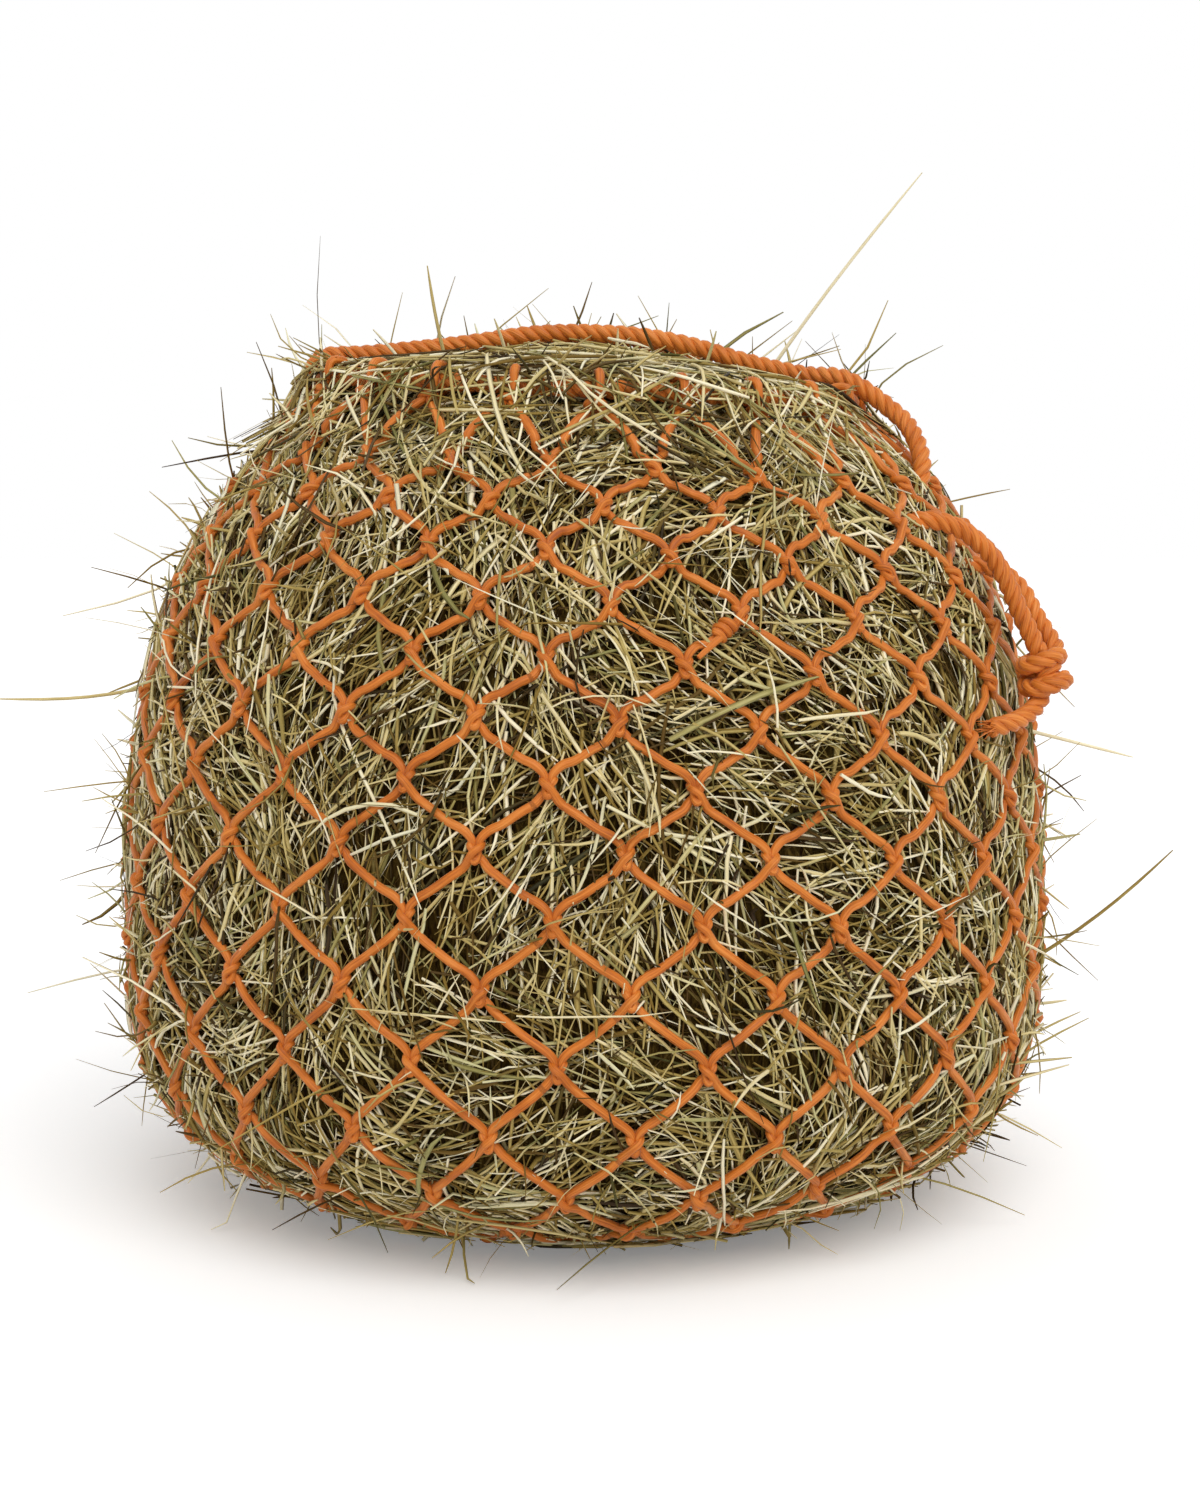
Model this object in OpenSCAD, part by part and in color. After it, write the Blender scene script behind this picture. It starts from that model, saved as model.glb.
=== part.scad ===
// Hay net: a knotted orange twine bag, packed with hay and standing on its base, with its drawstring.
// Units are mm. +Z is up, the front faces -Y, and the origin is the middle of the footprint on the floor.

/* [Bag] */
// Largest radius of the net over the hay
bag_radius = 239; // [200:5:280]
// Height of the widest place above the floor
waist_height = 142; // [120:2:170]
// Height of the net's outline if it ran on to a point
outline_height = 447; // [400:5:490]
// Roundness of the outline above the waist, where 2 is an ellipse
upper_roundness = 2.45; // [2:0.1:3.2]
// Roundness of the outline below the waist
lower_roundness = 3.2; // [2.4:0.1:4]
// Radius of the drawn-in mouth, at the middle of the drawstring
mouth_radius = 138; // [125:1:150]
// Lean of the mouth towards the right, in degrees
mouth_lean = 3; // [0:0.5:4]
// Height of the hay heap above the mouth
heap_height = 21; // [15:1:24]

/* [Net] */
// Meshes round the bag
meshes = 22; // [18:1:24]
// Thickness of the net twine
twine = 5; // [3.5:0.1:5.2]
// Thickness of a knot
knot = 11.2; // [11:0.1:13]
// Growth of the row spacing from one row to the next, as a share
row_growth = 0.05; // [0:0.005:0.08]
// Drop of the rows towards the right, as a slope
row_slope = 0.055; // [0:0.005:0.06]
// Drop of the rows at the two sides
side_drop = 15; // [0:1:20]
// Turn of the first row about the bag, in degrees
net_turn = -5.7; // [-8:0.5:8]
// Turn from one row to the next, in degrees
row_turn = 0.28; // [-0.4:0.01:0.4]
// Radius of the closing cord under the base
base_ring_radius = 42; // [40:1:60]

/* [Rope] */
// Thickness of the drawstring
rope = 10; // [8:0.2:10.4]
// Thickness of the overhand knot in the drawstring
rope_knot = 30; // [26:1:34]

/* [Hay] */
// Thickness of a loose stem
stem = 2.4; // [1.6:0.2:3]
// Length that an ordinary loose stem stands out of the net
stem_reach = 26; // [14:1:32]

/* [Hidden] */
$fn = 48;
side_rows = 15;
base_rows = 2;
rows = side_rows + base_rows;
tr = twine / 2;
kr = knot / 2;
rr = rope / 2;
run = 0.4;                       // running clearance between pieces that only touch
foot_cut = 0.5;                  // depth of the flat on the base knots
floor_knot = kr - foot_cut;      // height of the base knots' middles
inset = kr + run;                // the hay lies this far inside the knots' middles
flat = 0.78 * kr;                // a flat on a knot lies this far from its middle
wide_rows = 14;                  // rows down to this one have meshes wide enough for flats
leg = tr + 0.15;                 // sideways place of each leg where it enters a knot
eye = rr + run + tr;             // radius of a rim eye round the drawstring
step = 360 / meshes;
top_span = outline_height - waist_height;
profile_steps = 90;

// The outline of the knots' middles, from the mouth over the waist to the middle of the base.
function upper_t(r) = acos(pow(r / bag_radius, upper_roundness / 2));
function upper_pt(t) = [bag_radius * pow(cos(t), 2 / upper_roundness),
                        waist_height + top_span * pow(sin(t), 2 / upper_roundness)];
function lower_pt(t) = [bag_radius * pow(cos(t), 2 / lower_roundness),
                        max(floor_knot, waist_height * (1 - pow(sin(t), 2 / lower_roundness)))];
mouth_t = upper_t(mouth_radius);
outline = concat([for (i = [0 : profile_steps]) upper_pt(mouth_t * (1 - i / profile_steps))],
                 [for (i = [1 : profile_steps]) lower_pt(90 * i / profile_steps)]);
lengths = [for (i = 0, s = 0; i < len(outline); i = i + 1,
                s = i < len(outline) ? s + norm(outline[i] - outline[i - 1]) : s) s];
r_of = [for (i = [0 : len(outline) - 1]) [lengths[i], outline[i][0]]];
z_of = [for (i = [0 : len(outline) - 1]) [lengths[i], outline[i][1]]];

// Distance along the outline to each row of knots.
edge_radius = 0.63 * bag_radius;
edge_s = max([for (i = [0 : len(outline) - 1]) outline[i][0] > edge_radius ? lengths[i] : 0]);
ring_s = max([for (i = [0 : len(outline) - 1]) outline[i][0] > base_ring_radius ? lengths[i] : 0]);
first_s = 42;
shares = [for (i = 0, a = 0; i < side_rows; i = i + 1, a = a + 1 + row_growth * i) a];
function row_s(j) = j <= side_rows
    ? first_s + (edge_s - first_s) * shares[j - 1] / shares[side_rows - 1]
    : edge_s + (ring_s - edge_s) * (j - side_rows) / (base_rows + 1);

// A knot's middle: row j from 1, place i round the bag. Rows alternate by half a mesh.
function turn(j, i) = net_turn + row_turn * j + step * (i + (j % 2 == 0 ? 0.5 : 0));
function shift(j, a) = let (u = min(1, j / side_rows))
    (1 - u) * ((1 + u) * row_slope * bag_radius * sin(a)
               + 4 * u * side_drop * pow(sin(a), 2));
function on_bag(s, a) = let (r = lookup(s, r_of)) [r * sin(a), -r * cos(a), lookup(s, z_of)];
function across(a) = [cos(a), sin(a), 0];
function knot_at(j, i) = let (a = turn(j, i)) on_bag(row_s(j) + shift(j, a), a);
function leg_at(j, i, side) = knot_at(j, i) + side * leg * across(turn(j, i));
// The place of the nearest knot on one side, in the row above or below
function beyond(j, i, side) = j % 2 == 0 ? (side < 0 ? i : i + 1) : (side < 0 ? i - 1 : i);

// The mouth's own frame: its middle is on the bag's axis, and it leans to the right.
mouth_height = upper_pt(mouth_t)[1] + 8;
function lean(p) = [p[0] * cos(mouth_lean) + p[2] * sin(mouth_lean), p[1],
                    mouth_height - p[0] * sin(mouth_lean) + p[2] * cos(mouth_lean)];
rim_drop = (rr + run + kr) * sqrt(0.5);  // a rim knot lies this far out and down from the drawstring
core_top = -rim_drop - kr - run; // flat of the hay under the rim knots, in the mouth's frame
crown_radius = mouth_radius - eye - tr - run;

module mouth_frame() {
    translate([0, 0, mouth_height])
        rotate([0, mouth_lean, 0])
            children();
}

// A round bar from p to q
module rod(p, q, r) {
    v = q - p;
    translate(p)
        aim(v)
            cylinder(h = norm(v), r = r);
}

// The same, held back from both ends
module short_rod(p, q, back, r) {
    d = (q - p) / norm(q - p);
    rod(p + back * d, q - back * d, r);
}

// Hay, packed inside the net
inner = [for (i = [0 : 5 : len(outline) - 1])
    let (a = outline[max(0, i - 1)], b = outline[min(len(outline) - 1, i + 1)],
         n = [a[1] - b[1], b[0] - a[0]] / norm(b - a))
    outline[i] - inset * n];
core_foot = floor_knot + inset;
foot_radius = max([for (p = outline) if (p[1] < floor_knot + 0.01) p[0]]);
core_outline = concat([[0, inner[0][1] + 30], [inner[0][0], inner[0][1] + 30]],
                      [for (p = inner) if (p[1] > core_foot + 0.5) p],
                      [[foot_radius - inset / 2, core_foot], [0, core_foot]]);

module hay_core() {
    color("#8a7f45")
        difference() {
            rotate_extrude()
                polygon(core_outline);
            mouth_frame()
                translate([0, 0, core_top])
                    cylinder(h = 200, r = 2 * bag_radius);
        }
}

// Heap of hay that stands out of the mouth
heap_steps = 10;
heap_outline = concat([[0, core_top]],
                      [for (i = [0 : heap_steps])
                          [crown_radius * (1 - i / heap_steps),
                           core_top + (heap_height - core_top) * (1 - pow(1 - i / heap_steps, 2.2))]]);

module hay_crown() {
    color("#b3a763")
        mouth_frame()
            rotate_extrude()
                polygon(heap_outline);
}

// A lump of twine whose seam and poles stay clear of the legs that run into it
module lump(j, i, r, seam) {
    translate(knot_at(j, i))
        rotate([0, 0, turn(j, i)])
            rotate([j < side_rows ? 90 : 0, 0, 0])
                rotate([0, 0, j < side_rows ? seam : 0])
                    sphere(r = r);
}

// Turns +Z towards v
module aim(v) {
    rotate([0, acos(v[2] / norm(v)), atan2(v[1], v[0])])
        children();
}

// A lump with a flat where each leg leaves it, towards the two knots in ends
module flat_lump(j, i, r, seam, ends) {
    difference() {
        lump(j, i, r, seam);
        for (e = ends)
            translate(knot_at(j, i))
                aim(e - knot_at(j, i))
                    translate([-r, -r, flat])
                        cube(2 * r);
    }
}

// One round of twine: a knot at each place, and legs to the bights that the next row ties.
// In the wide meshes the legs leave through flats, and in the gathered ones they run side by side.
module round_of_twine(j) {
    wide = j <= wide_rows;
    color("#e2711d")
        difference() {
            union() {
                for (i = [0 : meshes - 1]) {
                    if (wide) {
                        down = [for (d = [-1, 1]) knot_at(j + 1, beyond(j, i, d))];
                        up = [for (d = [-1, 1]) knot_at(j, beyond(j + 1, i, d))];
                        flat_lump(j, i, kr, 90, down);
                        flat_lump(j + 1, i, kr - 0.3, -90, up);
                    } else {
                        lump(j, i, kr, 90);
                        lump(j + 1, i, kr - 0.3, -90);
                    }
                    for (d = [-1, 1])
                        if (wide)
                            short_rod(knot_at(j, i), knot_at(j + 1, beyond(j, i, d)), flat - 0.5, tr);
                        else
                            rod(leg_at(j, i, d), leg_at(j + 1, beyond(j, i, d), -d), tr);
                }
            }
            if (j >= side_rows - 1)
                translate([0, 0, -50])
                    cylinder(h = 50, r = bag_radius);
        }
}

module mesh_row_01() { round_of_twine(1); }
module mesh_row_02() { round_of_twine(2); }
module mesh_row_03() { round_of_twine(3); }
module mesh_row_04() { round_of_twine(4); }
module mesh_row_05() { round_of_twine(5); }
module mesh_row_06() { round_of_twine(6); }
module mesh_row_07() { round_of_twine(7); }
module mesh_row_08() { round_of_twine(8); }
module mesh_row_09() { round_of_twine(9); }
module mesh_row_10() { round_of_twine(10); }
module mesh_row_11() { round_of_twine(11); }
module mesh_row_12() { round_of_twine(12); }
module mesh_row_13() { round_of_twine(13); }
module mesh_row_14() { round_of_twine(14); }
module mesh_row_15() { round_of_twine(15); }
module mesh_row_16() { round_of_twine(16); }
module mesh_row_17() { round_of_twine(17); }

// Rim of the net: an eye round the drawstring at each place, tied by a knot, with legs to the first row
function rim_turn(i) = net_turn + step * (i + 0.5);
function rim_at(a, out, up) = lean([(mouth_radius + out) * sin(a), -(mouth_radius + out) * cos(a), up]);

module rim_row() {
    color("#e2711d")
        for (i = [0 : meshes - 1]) {
            a = rim_turn(i);
            hold = rim_at(a, rim_drop, -rim_drop);
            mouth_frame()
                rotate([0, 0, a])
                    translate([0, -mouth_radius, 0])
                        rotate([0, 90, 0])
                            rotate([0, 0, 90])
                                rotate_extrude()
                                    translate([eye, 0])
                                        circle(tr);
            translate(hold)
                rotate([0, 0, a])
                    rotate([90, 0, 0])
                        rotate([0, 0, 90])
                            sphere(r = kr);
            for (d = [-1, 1])
                rod(hold + d * leg * across(a), leg_at(1, d < 0 ? i : i + 1, -d), tr);
            lump(1, i, kr - 0.3, -90);
        }
}

// Closing cord that gathers the last row under the base
cord_r = 4;

module base_ring() {
    color("#d9691b")
        difference() {
            translate([0, 0, cord_r - foot_cut])
                rotate_extrude()
                    translate([base_ring_radius, 0])
                        circle(cord_r);
            translate([0, 0, -50])
                cylinder(h = 50, r = 2 * base_ring_radius);
        }
}

// Overhand knot where two lengths of the net twine are joined, on a leg in front
join_a = knot_at(4, 1);
join_b = knot_at(5, 1);

module join_knot() {
    color("#e2711d")
        translate(join_a + 0.34 * (join_b - join_a))
            aim(join_b - join_a)
                difference() {
                    rotate_extrude()
                        translate([tr + 0.5, 0])
                            circle(tr - 0.6);
                    translate([0, 0, -10])
                        cylinder(h = 20, r = tr + 0.05);
                }
}

// Drawstring inside the rim eyes
module drawstring_ring() {
    color("#e8782e")
        mouth_frame()
            rotate_extrude()
                translate([mouth_radius, 0])
                    circle(rr);
}

// A smooth run through points, and a round tube along it with flat ends
smooth = 4;
sides = 10;
function spline(a, b, c, d, t) = b + 0.5 * t * ((c - a)
    + t * ((2 * a - 5 * b + 4 * c - d) + t * (3 * (b - c) + d - a)));
function smoothed(p) = let (n = len(p) - 1)
    concat([for (i = [0 : n - 1], k = [0 : smooth - 1])
               spline(p[max(0, i - 1)], p[i], p[i + 1], p[min(n, i + 2)], k / smooth)], [p[n]]);
function unit(v) = v / norm(v);

module tube(route, r, ref) {
    p = smoothed(route);
    n = len(p);
    ring_points = [for (i = [0 : n - 1])
        let (d = unit(p[min(n - 1, i + 1)] - p[max(0, i - 1)]), u = unit(cross(ref, d)), v = cross(d, u))
        for (k = [0 : sides - 1]) p[i] + r * (cos(360 * k / sides) * u + sin(360 * k / sides) * v)];
    walls = [for (i = [0 : n - 2], k = [0 : sides - 1])
        let (a = i * sides + k, b = i * sides + (k + 1) % sides)
        each [[a, a + sides, b + sides], [a, b + sides, b]]];
    first_end = [[for (k = [0 : sides - 1]) k]];
    last_end = [[for (k = [sides - 1 : -1 : 0]) (n - 1) * sides + k]];
    polyhedron(ring_points, concat(walls, first_end, last_end));
}

// A place over the mouth: shares of the mouth's radius across and back, and a share of the heap's height
function over(p) = lean([p[0] * mouth_radius, p[1] * mouth_radius, rope + p[2] * heap_height]);

// A place beside the net: row, place round the bag in meshes, and distance out in rope thicknesses
row_table = concat([[0, 0]], [for (j = [1 : side_rows]) [j, row_s(j)]]);
function bag_side(s) = [lookup(s - 2, z_of) - lookup(s + 2, z_of), lookup(s + 2, r_of) - lookup(s - 2, r_of)];
function beside(p) = let (a = net_turn + row_turn * p[0] + step * p[1],
                          s = lookup(p[0], row_table) + shift(p[0], a),
                          n = unit(bag_side(s)) * p[2] * rope)
    on_bag(s, a) + [n[0] * sin(a), -n[0] * cos(a), n[1]];

// Free lengths of the drawstring: two strands over the heap, and two down the right side to the knot
front_over = [[-0.985, 0.04, 0], [-0.81, 0.02, 0.12], [-0.48, 0, 0.45], [-0.17, -0.03, 0.82],
              [0.13, -0.045, 0.9], [0.36, -0.06, 0.75], [0.59, -0.09, 0.4], [0.81, -0.15, 0.15],
              [0.965, -0.24, 0.08]];
front_dive = [[0.2, 4.97, 1.2], [0.5, 4.8, 1.15], [0.8, 4.65, 0.7], [1.05, 4.55, -0.15]];
back_over = [[-0.975, 0.165, 0], [-0.8, 0.155, 0.12], [-0.48, 0.1, 0.45], [-0.17, 0.065, 0.82],
             [0.13, 0.065, 0.85], [0.32, 0.17, 0.65], [0.43, 0.36, 0.35], [0.52, 0.58, 0.1],
             [0.61, 0.78, 0]];
side_run = [[1.85, 3.85, -0.22], [2, 3.95, 0.6], [2.35, 4.12, 1.3], [2.9, 4.28, 1.7], [3.45, 4.36, 1.75],
            [4, 4.38, 1.8], [4.4, 4.37, 2], [4.75, 4.34, 2.2]];
rear_run = [[2.8, 4.62, -0.15], [2.92, 4.68, 0.6], [3.2, 4.7, 1.3], [3.6, 4.66, 1.85], [4, 4.6, 2.1],
            [4.35, 4.56, 2.4], [4.6, 4.51, 2.7], [4.78, 4.45, 2.85]];
tail_run = [[5.35, 4.25, 2.1], [5.55, 4.18, 1.8], [5.7, 4.05, 1.45], [5.8, 3.9, 1], [5.85, 3.75, 0.35]];
side_knot_at = beside([5.05, 4.31, 2.2]);

module front_strand() {
    color("#e8782e")
        tube(concat([for (p = front_over) over(p)], [for (p = front_dive) beside(p)]), rr, [0, 0, 1]);
}

module back_strand() {
    color("#e8782e")
        tube([for (p = back_over) over(p)], rr, [0, 0, 1]);
}

module side_strand() {
    color("#e8782e")
        tube([for (p = side_run) beside(p)], rr, [0, 1, 0]);
}

module rear_strand() {
    color("#e8782e")
        tube([for (p = rear_run) beside(p)], rr, [0, 1, 0]);
}

module side_tail() {
    color("#e8782e")
        tube([for (p = tail_run) beside(p)], rr, [0, 1, 0]);
}

// Overhand knot at the end of the drawstring: crossed turns round a tight middle
module side_knot() {
    wrap = rope_knot / 2 - rr;
    color("#e07028")
        translate(side_knot_at) {
            sphere(r = wrap);
            rotate([25, 15, 0])
                rotate_extrude()
                    translate([wrap, 0])
                        circle(rr - 0.2);
            rotate([80, 35, 20])
                rotate_extrude()
                    translate([wrap - 0.4, 0])
                        circle(rr - 0.4);
        }
}

// Loose stems that stand out through the meshes. Each is buried a little way in the hay.
function noise(i, j) = let (v = sin(127.1 * i + 311.7 * j) * 437.58) v - floor(v);
function out_of(a, e) = [sin(a) * cos(e), -cos(a) * cos(e), sin(e)];

module stem_at(p, d, reach) {
    rod(p - 10 * d, p + reach * d, stem / 2);
}

// The meshes by the rope and those of the longest stems hold no ordinary stem.
function by_rope(j, i) = j <= 6 && i >= 3 && i <= 5;
function has_long(j, i) = len([for (c = long_stems) if (c[0] == j && c[1] == i) c]) > 0;

module stems(from, to) {
    color("#d2c68a")
        for (j = [from : to], i = [0 : meshes - 1])
            if (noise(i, j) < 0.42 && !by_rope(j, i) && !has_long(j, i))
                stem_at((knot_at(j, i) + knot_at(j, i + 1)) / 2,
                        out_of(turn(j, i + 0.5) + 50 * (noise(i + 7, j) - 0.5), 60 * (noise(i, j + 9) - 0.4)),
                        stem_reach * (0.35 + 0.65 * noise(i + 3, j + 5)));
}

module stems_upper() { stems(2, 5); }
module stems_middle() { stems(6, 9); }
module stems_lower() { stems(10, 13); }

// Stems that stand out of the heap: each is [share of its radius across, share back, lean across, lean back,
// reach]
crown_stems = [[0.71, 0.25, 0.75, -0.1, 144], [-0.55, -0.27, -0.2, -0.06, 50],
               [-0.31, -0.49, -0.25, -0.4, 24], [0.11, -0.57, 0.12, -0.5, 22], [0.44, -0.47, 0.4, -0.25, 26],
               [-0.72, -0.16, -0.75, -0.12, 28], [-0.43, 0.41, -0.25, 0.5, 26], [0.03, 0.47, 0.4, 0.25, 30],
               [0.28, -0.33, -0.4, -0.2, 24], [-0.06, 0.69, 0.06, 0.6, 24], [0.76, -0.36, 0.75, -0.4, 22],
               [-0.16, 0.3, -0.45, 0.12, 28]];
function heap_at(x, y) = lean([x, y, core_top + (heap_height - core_top)
                               * (1 - pow(norm([x, y]) / crown_radius, 2.2))]);

module stems_crown() {
    color("#d2c68a")
        for (c = crown_stems)
            stem_at(heap_at(c[0] * crown_radius, c[1] * crown_radius), unit([c[2], c[3], 1]), c[4]);
}

// The longest stems: each is [row, place round the bag, tip across, tip back, tip height], with the tips as
// shares of the bag's radius
long_stems = [[6, 16, -1.255, -0.21, 1.1], [6, 4, 1.18, -0.17, 0.97], [10, 4, 1.255, -0.25, 0.78],
              [11, 1, 0.28, -1.13, 0.44], [9, 10, -0.25, 1.13, 0.9]];

module stems_long() {
    color("#d2c68a")
        for (c = long_stems) {
            from = (knot_at(c[0], c[1]) + knot_at(c[0], c[1] + 1)) / 2;
            tip = [c[2], c[3], c[4]] * bag_radius;
            stem_at(from, unit(tip - from), norm(tip - from));
        }
}

hay_core();
hay_crown();
stems_upper();
stems_middle();
stems_lower();
stems_crown();
stems_long();
rim_row();
mesh_row_01();
mesh_row_02();
mesh_row_03();
mesh_row_04();
mesh_row_05();
mesh_row_06();
mesh_row_07();
mesh_row_08();
mesh_row_09();
mesh_row_10();
mesh_row_11();
mesh_row_12();
mesh_row_13();
mesh_row_14();
mesh_row_15();
mesh_row_16();
mesh_row_17();
base_ring();
join_knot();
drawstring_ring();
front_strand();
back_strand();
side_strand();
rear_strand();
side_knot();
side_tail();
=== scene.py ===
import math

import bmesh
import bpy
import numpy as np
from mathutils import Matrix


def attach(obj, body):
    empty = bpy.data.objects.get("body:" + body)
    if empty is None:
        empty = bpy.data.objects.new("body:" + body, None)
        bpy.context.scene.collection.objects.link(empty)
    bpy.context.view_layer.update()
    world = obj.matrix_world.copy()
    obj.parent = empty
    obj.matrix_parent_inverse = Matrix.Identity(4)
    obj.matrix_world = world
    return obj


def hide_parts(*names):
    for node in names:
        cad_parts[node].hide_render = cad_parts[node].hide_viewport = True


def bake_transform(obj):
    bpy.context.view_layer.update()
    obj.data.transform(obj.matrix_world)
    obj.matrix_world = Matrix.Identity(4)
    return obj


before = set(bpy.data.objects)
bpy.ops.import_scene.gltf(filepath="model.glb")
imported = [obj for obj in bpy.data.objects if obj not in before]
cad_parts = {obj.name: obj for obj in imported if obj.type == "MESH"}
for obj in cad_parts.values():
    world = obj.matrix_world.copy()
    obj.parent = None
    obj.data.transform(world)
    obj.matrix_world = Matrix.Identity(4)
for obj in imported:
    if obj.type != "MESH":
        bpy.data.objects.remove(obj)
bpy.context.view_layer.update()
rng = np.random.default_rng(11)
MM = 0.001

# The bag and its net in mm, as the part's source draws them.
BAG_RADIUS = 239.0
WAIST = 142.0
OUTLINE_TOP = 447.0
ROUND_ABOVE = 2.45
ROUND_BELOW = 3.2
MOUTH_RADIUS = 138.0
MOUTH_LEAN = math.radians(3)
HEAP = 21.0
MESHES = 22
SIDE_ROWS = 15
BASE_ROWS = 2
ROWS = SIDE_ROWS + BASE_ROWS
ROW_GROWTH = 0.05
FIRST_S = 42.0
TWINE_R = 2.5
KNOT_R = 5.6
ROPE_R = 5.0
RUN = 0.4
NET_TURN = -5.7
ROW_TURN = 0.28
ROW_SLOPE = 0.055
SIDE_DROP = 15.0
EDGE_RADIUS = 0.63 * BAG_RADIUS
RING_RADIUS = 42.0
FOOT_CUT = 0.5
RIM_RISE = 8.0
OUTLINE_STEPS = 90
STEP = 360 / MESHES
FLOOR_KNOT = KNOT_R - FOOT_CUT
RIM_OFF = (ROPE_R + RUN + KNOT_R) * math.sqrt(0.5)
HEAP_RADIUS = MOUTH_RADIUS - ROPE_R - RUN - 2 * TWINE_R - RUN
HEAP_FOOT = -RIM_OFF - KNOT_R - RUN

# The outline's slope is read over this distance to each side, in mm.
SLOPE_STEP = 3.0
# Twine and rope keep this far above the floor, in mm, and stems rest on it with their thickness.
FLOOR_GAP = 0.05
STEM_FLOOR = 1.8


def distances(p):
    """Distance of each point along a run."""
    return np.concatenate([[0], np.cumsum(np.linalg.norm(np.diff(p, axis=0), axis=1))])


def bag_outline():
    """The outline of the knots' middles, mouth to base, as radius, height and distance along it."""
    span = OUTLINE_TOP - WAIST
    mouth_t = math.acos((MOUTH_RADIUS / BAG_RADIUS) ** (ROUND_ABOVE / 2))
    t = mouth_t * (1 - np.arange(OUTLINE_STEPS + 1) / OUTLINE_STEPS)
    above = np.stack([BAG_RADIUS * np.cos(t) ** (2 / ROUND_ABOVE),
                      WAIST + span * np.sin(t) ** (2 / ROUND_ABOVE)], 1)
    t = math.pi / 2 * np.arange(1, OUTLINE_STEPS + 1) / OUTLINE_STEPS
    r = BAG_RADIUS * np.maximum(0, np.cos(t)) ** (2 / ROUND_BELOW)
    z = np.maximum(FLOOR_KNOT, WAIST * (1 - np.sin(t) ** (2 / ROUND_BELOW)))
    line = np.concatenate([above, np.stack([r, z], 1)])
    return line[:, 0], line[:, 1], distances(line)


OUT_R, OUT_Z, OUT_S = bag_outline()
EDGE_S = OUT_S[OUT_R > EDGE_RADIUS].max()
RING_S = OUT_S[OUT_R > RING_RADIUS].max()
MOUTH_Z = OUT_Z[0] + RIM_RISE


def row_places():
    """Distance of each row along the outline: the rim, the side rows, the base rows and the closing cord."""
    shares = np.concatenate([[0], np.cumsum(1 + ROW_GROWTH * np.arange(SIDE_ROWS - 1))])
    side = FIRST_S + (EDGE_S - FIRST_S) * shares / shares[-1]
    base = EDGE_S + (RING_S - EDGE_S) * np.arange(1, BASE_ROWS + 2) / (BASE_ROWS + 1)
    return np.concatenate([[0], side, base])


ROW_S = row_places()
ROW_J = np.arange(len(ROW_S))


def row_shift(j, a):
    """How far down the outline row j lies at an angle: the rows slope, and they drop at the sides."""
    u = np.minimum(1, j / SIDE_ROWS)
    slope = (1 + u) * ROW_SLOPE * BAG_RADIUS * np.sin(a)
    return (1 - u) * (slope + 4 * u * SIDE_DROP * np.sin(a) ** 2)


def outline_at(s):
    """Radius and height at a distance along the outline."""
    return np.array([np.interp(s, OUT_S, OUT_R), np.interp(s, OUT_S, OUT_Z)])


def bag_frame(s, a):
    """Place on the outline, and the directions across, up the bag and out of it."""
    r, z = outline_at(s)
    slope = outline_at(s + SLOPE_STEP) - outline_at(s - SLOPE_STEP)
    dr, dz = slope / (np.hypot(*slope) + 1e-9)
    sa, ca = np.sin(a), np.cos(a)
    place = np.stack([r * sa, -r * ca, z], -1)
    across = np.stack([ca, sa, 0 * sa], -1)
    up = np.stack([-dr * sa, dr * ca, -dz], -1)
    out = np.stack([-dz * sa, dz * ca, dr], -1)
    return place, across, up, out


def net_place(j, i):
    """Distance along the outline and angle of row j, place i round the bag in meshes."""
    a = np.radians(NET_TURN + ROW_TURN * j + STEP * i)
    return np.interp(j, ROW_J, ROW_S) + row_shift(j, a), a


def net_coords(s, a):
    """Row and place round the bag, the other way round."""
    j = np.interp(s, ROW_S, ROW_J)
    for _ in range(6):
        j = np.interp(s - row_shift(j, a), ROW_S, ROW_J)
    return j, (np.degrees(a) - NET_TURN - ROW_TURN * j) / STEP


def row_half(j):
    """Every second row lies half a mesh further round."""
    return 0 if j % 2 else 0.5


def knot_frame(j, i):
    """bag_frame at knot i of row j."""
    s, a = net_place(j, i + row_half(j))
    return bag_frame(s, a)


def lean(p):
    """From the mouth's own frame to the object's."""
    p = np.asarray(p, float)
    c, n = math.cos(MOUTH_LEAN), math.sin(MOUTH_LEAN)
    x, y, z = p[..., 0], p[..., 1], p[..., 2]
    return np.stack([x * c + z * n, y, MOUTH_Z - x * n + z * c], -1)


def over(p):
    """A place over the heap: two shares of the mouth's radius, and one of the heap's height."""
    return lean([p[0] * MOUTH_RADIUS, p[1] * MOUTH_RADIUS, 2 * ROPE_R + p[2] * HEAP])


def beside(p):
    """A place beside the bag: row, place round it in meshes, and rope thicknesses out of it."""
    s, a = net_place(p[0], p[1])
    place, _, _, out = bag_frame(s, a)
    return place + out * p[2] * 2 * ROPE_R


def smooth_run(points, per=8, closed=False):
    """A smooth run through the points, as the part's source draws its ropes."""
    p = np.asarray(points, float)
    n = len(p)
    t = np.arange(per)[:, None] / per
    runs = []
    for i in range(n if closed else n - 1):
        if closed:
            a, b, c, d = p[i - 1], p[i], p[(i + 1) % n], p[(i + 2) % n]
        else:
            a, b, c, d = p[max(0, i - 1)], p[i], p[i + 1], p[min(n - 1, i + 2)]
        bend = (2 * a - 5 * b + 4 * c - d) + t * (3 * (b - c) + d - a)
        runs.append(b + 0.5 * t * ((c - a) + t * bend))
    if not closed:
        runs.append(p[-1:])
    return np.concatenate(runs)


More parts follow.
